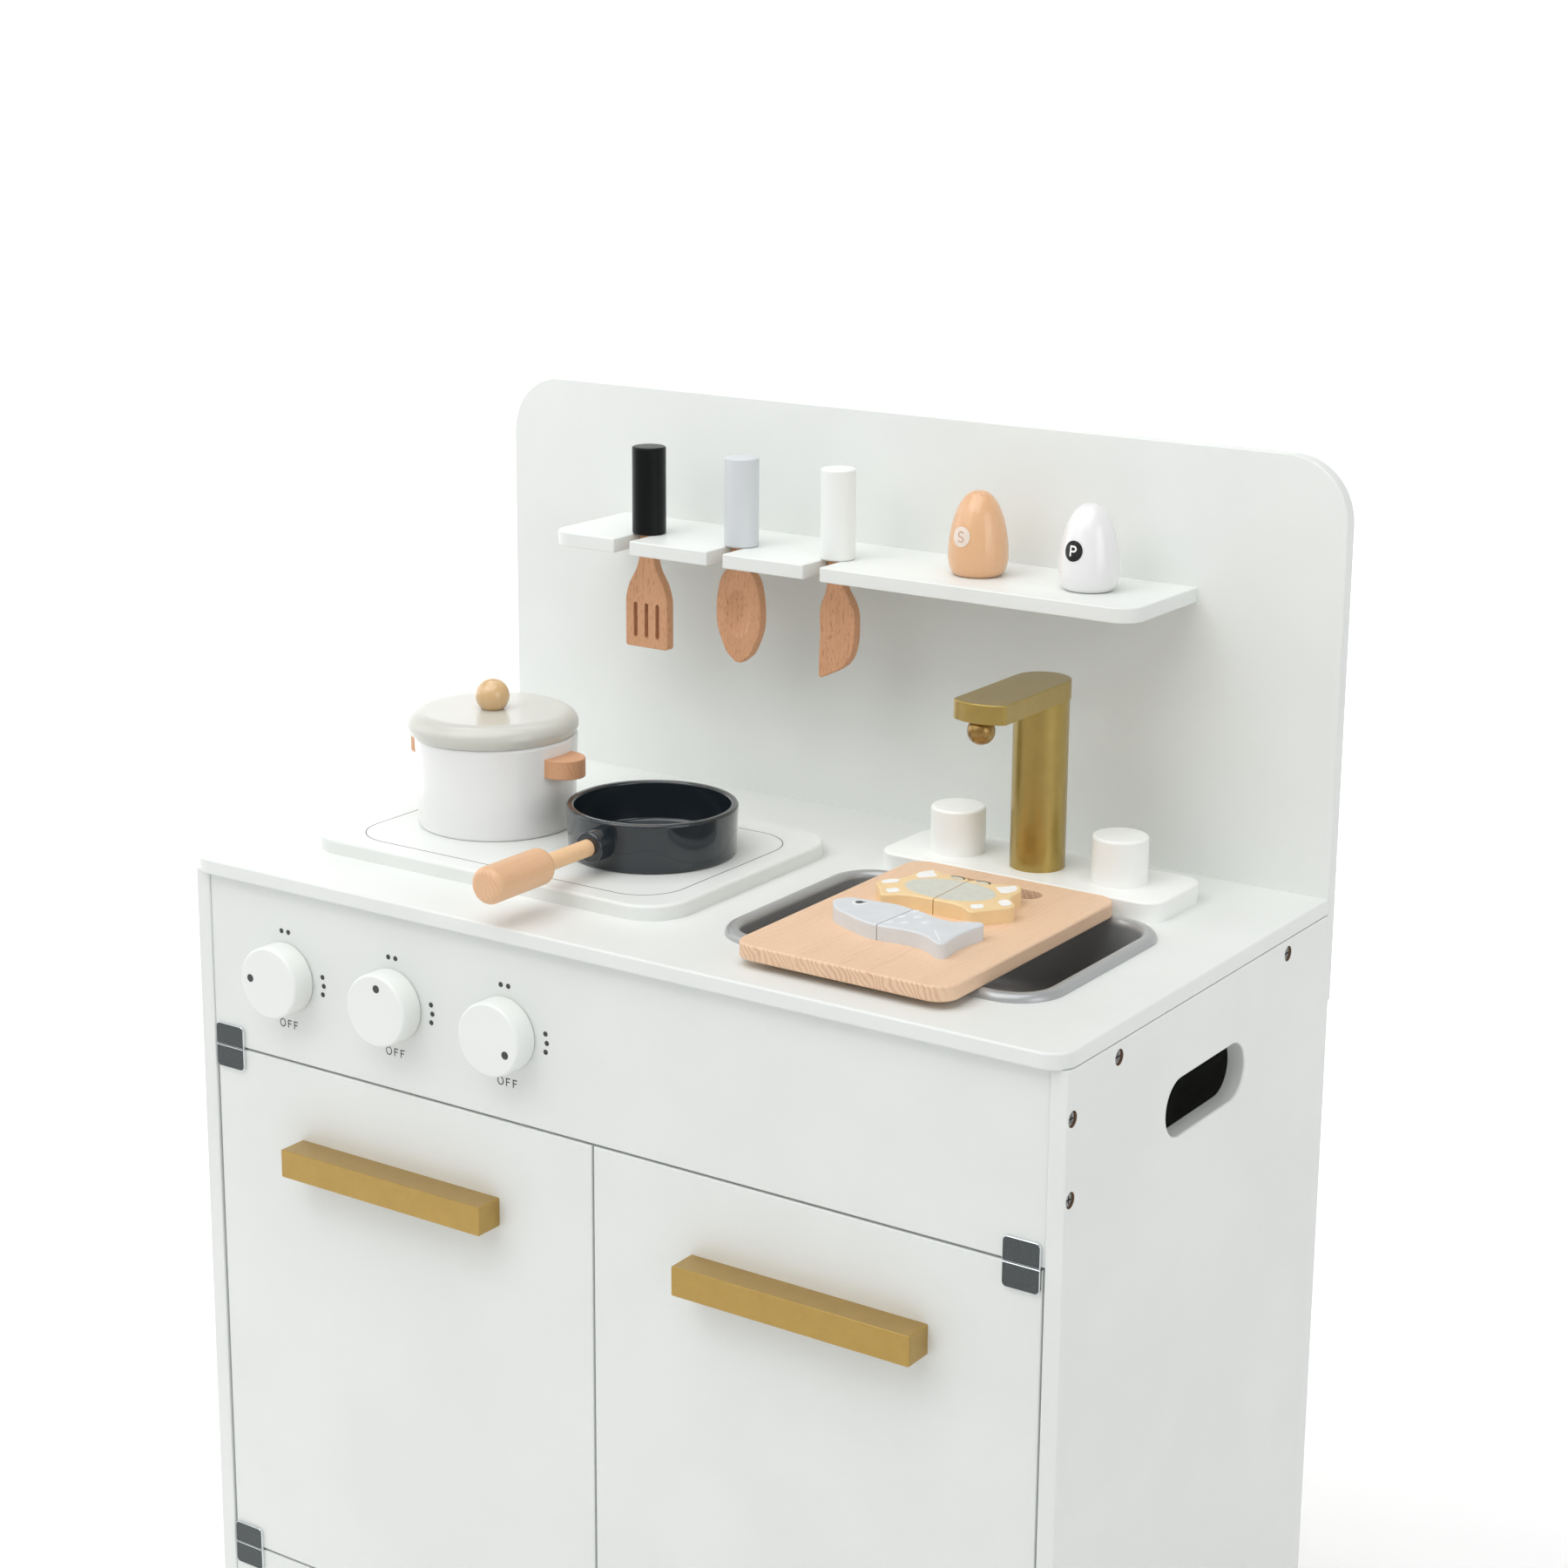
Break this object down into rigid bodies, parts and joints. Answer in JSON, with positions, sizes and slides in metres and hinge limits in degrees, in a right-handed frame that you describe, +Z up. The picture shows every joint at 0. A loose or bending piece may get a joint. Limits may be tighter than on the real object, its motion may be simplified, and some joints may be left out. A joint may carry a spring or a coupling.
{
  "type": "play kitchen",
  "caption": "Child's play kitchen of painted board with hob, sink, faucet, control knobs, hinged doors, utensil shelf, pot, pan, toy food and utensils",
  "frame": {"origin": "on the floor, under the middle of the whole object's length and depth", "axes": "+X to the right as a child faces it, +Y from the doors towards the backboard, +Z up"},
  "size_m": [0.6, 0.337, 0.7571],
  "materials": {
    "white_paint": "satin white paint on board, very fine orange peel",
    "raw_board": "thin white-faced rear sheet, matt",
    "pale_beech": "oiled beech, fine straight grain with short flecks",
    "utensil_beech": "matt steamed beech, warm brown with fine grain",
    "rod_beech": "light yellowish beech dowel",
    "gold_paint": "fine metallic gold paint, satin",
    "copper_gold": "metallic gold paint, slightly redder, satin",
    "white_enamel": "glossy white lacquer",
    "sage_enamel": "smooth satin lacquer, pale grey green",
    "slate_enamel": "glossy dark slate lacquer",
    "black_paint": "satin black paint over turned wood",
    "grey_blue_paint": "satin pale grey-blue paint",
    "toy_blue": "matt pale grey-blue print on wood",
    "toy_yellow": "matt soft yellow print on wood",
    "sink_grey": "satin mid-grey moulded plastic",
    "plated_steel": "bright zinc-plated steel, fine scratches",
    "screw_steel": "zinc-plated screw steel",
    "magnet_dark": "dark sintered magnet",
    "foot_rubber": "pale felt-like foot pad"
  },
  "bodies": {
    "cabinet": {"left_side_panel": "white_paint", "right_side_panel": "white_paint", "countertop": "white_paint", "backboard": "white_paint", "utensil_shelf": "white_paint", "fascia_panel": "white_paint", "centre_divider": "white_paint", "bottom_panel": "white_paint", "rear_panel": "raw_board", "plinth": "white_paint", "foot_pads": "foot_rubber", "top_cleats": "white_paint", "carcass_screws": "screw_steel", "hob_plate": "white_paint", "sink_basin": "sink_grey", "faucet_base_plate": "white_paint", "hinge_fixed_leaves": "plated_steel", "hinge_pins": "screw_steel", "door_magnets": "magnet_dark"},
    "faucet": {"faucet_column": "gold_paint", "faucet_spout": "gold_paint", "spout_nozzle": "copper_gold"},
    "left_tap_knob": {"left_tap": "white_paint"},
    "right_tap_knob": {"right_tap": "white_paint"},
    "knob_1": {"hob_knob_1": "white_paint", "knob_spindle_1": "screw_steel"},
    "knob_2": {"hob_knob_2": "white_paint", "knob_spindle_2": "screw_steel"},
    "knob_3": {"hob_knob_3": "white_paint", "knob_spindle_3": "screw_steel"},
    "door_left": {"left_door": "white_paint", "left_door_handle": "gold_paint", "left_handle_screws": "screw_steel", "left_hinge_door_leaves": "plated_steel", "left_strike_plates": "screw_steel"},
    "door_right": {"right_door": "white_paint", "right_door_handle": "gold_paint", "right_handle_screws": "screw_steel", "right_hinge_door_leaves": "plated_steel", "right_strike_plates": "screw_steel"},
    "pot": {"pot_body": "white_enamel", "pot_handles": "utensil_beech"},
    "lid": {"pot_lid": "sage_enamel", "pot_lid_knob": "rod_beech"},
    "pan": {"pan_body": "slate_enamel", "pan_handle_rod": "rod_beech", "pan_handle_grip": "utensil_beech"},
    "chopping_board": {"cutting_board": "pale_beech"},
    "fish_front": {"fish_head": "toy_blue"},
    "fish_rear": {"fish_tail": "toy_blue"},
    "crab_left": {"crab_left_half": "toy_yellow"},
    "crab_right": {"crab_right_half": "toy_yellow"},
    "spatula": {"spatula_blade": "utensil_beech", "spatula_handle": "black_paint"},
    "spoon": {"spoon_bowl": "utensil_beech", "spoon_handle": "grey_blue_paint"},
    "knife": {"knife_blade": "utensil_beech", "knife_handle": "white_paint"},
    "salt": {"salt_shaker": "pale_beech"},
    "pepper": {"pepper_shaker": "white_enamel"}
  },
  "joints": [
    {"name": "faucet_swivel", "type": "hinge", "parent": "cabinet", "child": "faucet", "pos_m": [0.1472, 0.08695, 0.512], "axis": [0, 0, 1], "range_deg": [-90, 90]},
    {"name": "left_tap_turn", "type": "hinge", "parent": "cabinet", "child": "left_tap_knob", "pos_m": [0.0931, 0.08695, 0.512], "axis": [0, 0, 1], "continuous": true},
    {"name": "right_tap_turn", "type": "hinge", "parent": "cabinet", "child": "right_tap_knob", "pos_m": [0.2013, 0.08695, 0.512], "axis": [0, 0, 1], "continuous": true},
    {"name": "hob_knob_1_turn", "type": "hinge", "parent": "cabinet", "child": "knob_1", "pos_m": [-0.2294, -0.15045, 0.4348], "axis": [0, -1, 0], "continuous": true},
    {"name": "hob_knob_2_turn", "type": "hinge", "parent": "cabinet", "child": "knob_2", "pos_m": [-0.1455, -0.15045, 0.4348], "axis": [0, -1, 0], "continuous": true},
    {"name": "hob_knob_3_turn", "type": "hinge", "parent": "cabinet", "child": "knob_3", "pos_m": [-0.0616, -0.15045, 0.4348], "axis": [0, -1, 0], "continuous": true},
    {"name": "left_door_swing", "type": "hinge", "parent": "cabinet", "child": "door_left", "pos_m": [-0.2825, -0.14755, 0.2135], "axis": [0, 0, -1], "range_deg": [0, 105]},
    {"name": "right_door_swing", "type": "hinge", "parent": "cabinet", "child": "door_right", "pos_m": [0.2825, -0.14755, 0.2135], "axis": [0, 0, 1], "range_deg": [0, 105]},
    {"name": "pot_lift", "type": "slide", "parent": "cabinet", "child": "pot", "axis": [0, 0, 1], "range_m": [0, 0.1]},
    {"name": "lid_lift", "type": "slide", "parent": "pot", "child": "lid", "axis": [0, 0, 1], "range_m": [0, 0.07]},
    {"name": "pan_lift", "type": "slide", "parent": "cabinet", "child": "pan", "axis": [0.3015, -0.3015, 0.9045], "range_m": [0, 0.1]},
    {"name": "chopping_board_lift", "type": "slide", "parent": "cabinet", "child": "chopping_board", "axis": [0, -0.6, 0.8], "range_m": [0, 0.08]},
    {"name": "fish_lift", "type": "slide", "parent": "chopping_board", "child": "fish_front", "axis": [0, 0, 1], "range_m": [0, 0.045]},
    {"name": "fish_halves_part", "type": "slide", "parent": "fish_front", "child": "fish_rear", "axis": [0.9979, -0.0645, 0], "range_m": [0, 0.02]},
    {"name": "crab_lift", "type": "slide", "parent": "chopping_board", "child": "crab_left", "axis": [0, 0, 1], "range_m": [0, 0.045]},
    {"name": "crab_halves_part", "type": "slide", "parent": "crab_left", "child": "crab_right", "axis": [0.9996, 0.0297, 0], "range_m": [0, 0.02]},
    {"name": "spatula_take_out", "type": "slide", "parent": "cabinet", "child": "spatula", "axis": [0, -1, 0], "range_m": [0, 0.06]},
    {"name": "spoon_take_out", "type": "slide", "parent": "cabinet", "child": "spoon", "axis": [0, -1, 0], "range_m": [0, 0.06]},
    {"name": "knife_take_out", "type": "slide", "parent": "cabinet", "child": "knife", "axis": [0, -1, 0], "range_m": [0, 0.06]},
    {"name": "salt_shaker_lift", "type": "slide", "parent": "cabinet", "child": "salt", "axis": [0, 0, 1], "range_m": [0, 0.06]},
    {"name": "pepper_shaker_lift", "type": "slide", "parent": "cabinet", "child": "pepper", "axis": [0, 0, 1], "range_m": [0, 0.06]}
  ]
}
